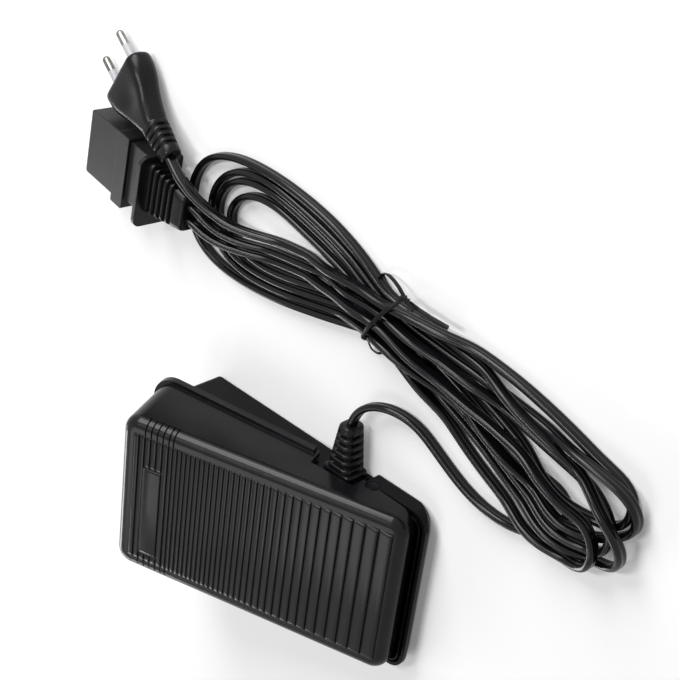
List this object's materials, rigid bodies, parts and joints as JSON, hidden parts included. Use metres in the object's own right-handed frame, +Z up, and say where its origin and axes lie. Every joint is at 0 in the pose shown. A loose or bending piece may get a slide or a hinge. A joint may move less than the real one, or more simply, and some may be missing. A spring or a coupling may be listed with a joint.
{
  "type": "sewing machine foot pedal",
  "caption": "Wedge-shaped foot pedal with a hinged ribbed tread, sprung speed control inside, and a folded flat cord set with a machine connector and a flat mains plug.",
  "frame": {"origin": "centre of the pedal's footprint on the floor, measured without the cord set", "axes": "+X from the high toe end to the low heel end, where the hinge is; +Y to the side where the cord comes out; +Z up"},
  "size_m": [0.3369, 0.237, 0.0621],
  "materials": {
    "cover_plastic": "fine grained black moulding",
    "base_plastic": "black moulding",
    "foot_rubber": "matte",
    "spring_steel": "drawn wire",
    "board": "laminate",
    "screw_steel": "zinc plated",
    "component_dark": "matte",
    "slider_plastic": "natural nylon",
    "heat_sink": "extruded",
    "capacitor": "moulded box",
    "copper_wire": "enamelled copper",
    "resistor": "lacquered",
    "terminal_green": "moulded",
    "wire_brown": "insulated wire",
    "cord_sheath": "smooth flexible sheath",
    "boot_rubber": "flexible moulding",
    "tie_plastic": "coated wire",
    "contact_brass": "turned",
    "pin_nickel": "nickel plated",
    "sleeve_plastic": "insulating sleeve"
  },
  "bodies": {
    "base": {"base_shell": "base_plastic", "hinge_pins": "base_plastic", "rubber_feet": "foot_rubber", "return_springs": "spring_steel", "bump_stops": "foot_rubber", "circuit_board": "board", "board_screws": "screw_steel", "speed_control_body": "component_dark", "triac": "component_dark", "heat_sink": "heat_sink", "suppression_capacitor": "capacitor", "choke_core": "component_dark", "choke_winding": "copper_wire", "resistors": "resistor", "terminal_block": "terminal_green", "terminal_screws": "screw_steel", "lead_wires": "wire_brown", "cord_tail": "cord_sheath", "cord_clamp": "base_plastic", "clamp_screws": "screw_steel", "strain_relief": "boot_rubber", "pedal_lead": "cord_sheath", "cord_hank": "cord_sheath", "twist_tie": "tie_plastic", "connector_body": "boot_rubber", "connector_boot": "boot_rubber", "connector_contacts": "contact_brass", "connector_lead_a": "cord_sheath", "connector_lead_b": "cord_sheath", "plug_body": "boot_rubber", "plug_pins": "pin_nickel", "plug_pin_sleeves": "sleeve_plastic", "plug_lead": "cord_sheath"},
    "tread": {"pedal_cover": "cover_plastic"},
    "slider": {"speed_control_slider": "slider_plastic"}
  },
  "joints": [
    {"name": "pedal_press", "type": "hinge", "parent": "base", "child": "tread", "pos_m": [0.04675, 0, 0.0095], "axis": [0, -1, 0], "range_deg": [0, 7], "stiffness_Nm_per_rad": 8, "springref_deg": -3.44, "deforming": ["return_springs"]},
    {"name": "slider_travel", "type": "slide", "parent": "base", "child": "slider", "axis": [0, 0, -1], "range_m": [0, 0.0116]}
  ],
  "couplings": [
    {"joint": "slider_travel", "follows": "pedal_press", "m_per_rad": 0.094078}
  ]
}
